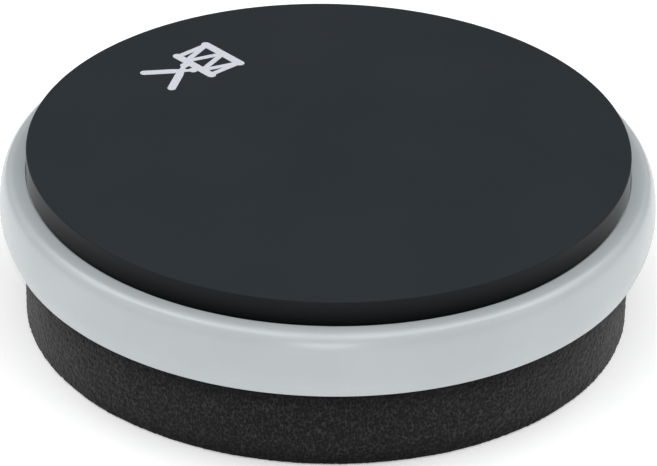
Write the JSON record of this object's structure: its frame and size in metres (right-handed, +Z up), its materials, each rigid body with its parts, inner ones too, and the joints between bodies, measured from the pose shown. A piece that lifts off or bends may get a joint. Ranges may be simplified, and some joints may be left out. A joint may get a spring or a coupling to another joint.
{
  "type": "practice pad",
  "caption": "Round drum practice pad: a thick black rubber disc seated in a rounded light grey moulded rim, stiffened by a board and standing on a thick dark foam disc.",
  "frame": {"origin": "centre of the foam base's underside, on the surface the pad stands on", "axes": "+Z up through the centre of the disc towards the struck face; +Y is the far side as the player sees it, and the emblem lies at the far left"},
  "size_m": [0.305, 0.305, 0.0846],
  "materials": {
    "rubber": "matte",
    "print": "matte",
    "glue": "satin",
    "rim_plastic": "satin",
    "board": "matte",
    "screw_steel": "satin",
    "foam": "matte"
  },
  "bodies": {
    "root": {"playing_surface": "rubber", "printed_emblem": "print", "surface_adhesive": "glue", "rim_tray": "rim_plastic", "core_board": "board", "board_screw_1": "screw_steel", "board_screw_2": "screw_steel", "board_screw_3": "screw_steel", "board_screw_4": "screw_steel", "board_screw_5": "screw_steel", "board_screw_6": "screw_steel", "board_screw_7": "screw_steel", "board_screw_8": "screw_steel", "foam_adhesive": "glue", "foam_base": "foam"}
  },
  "joints": []
}
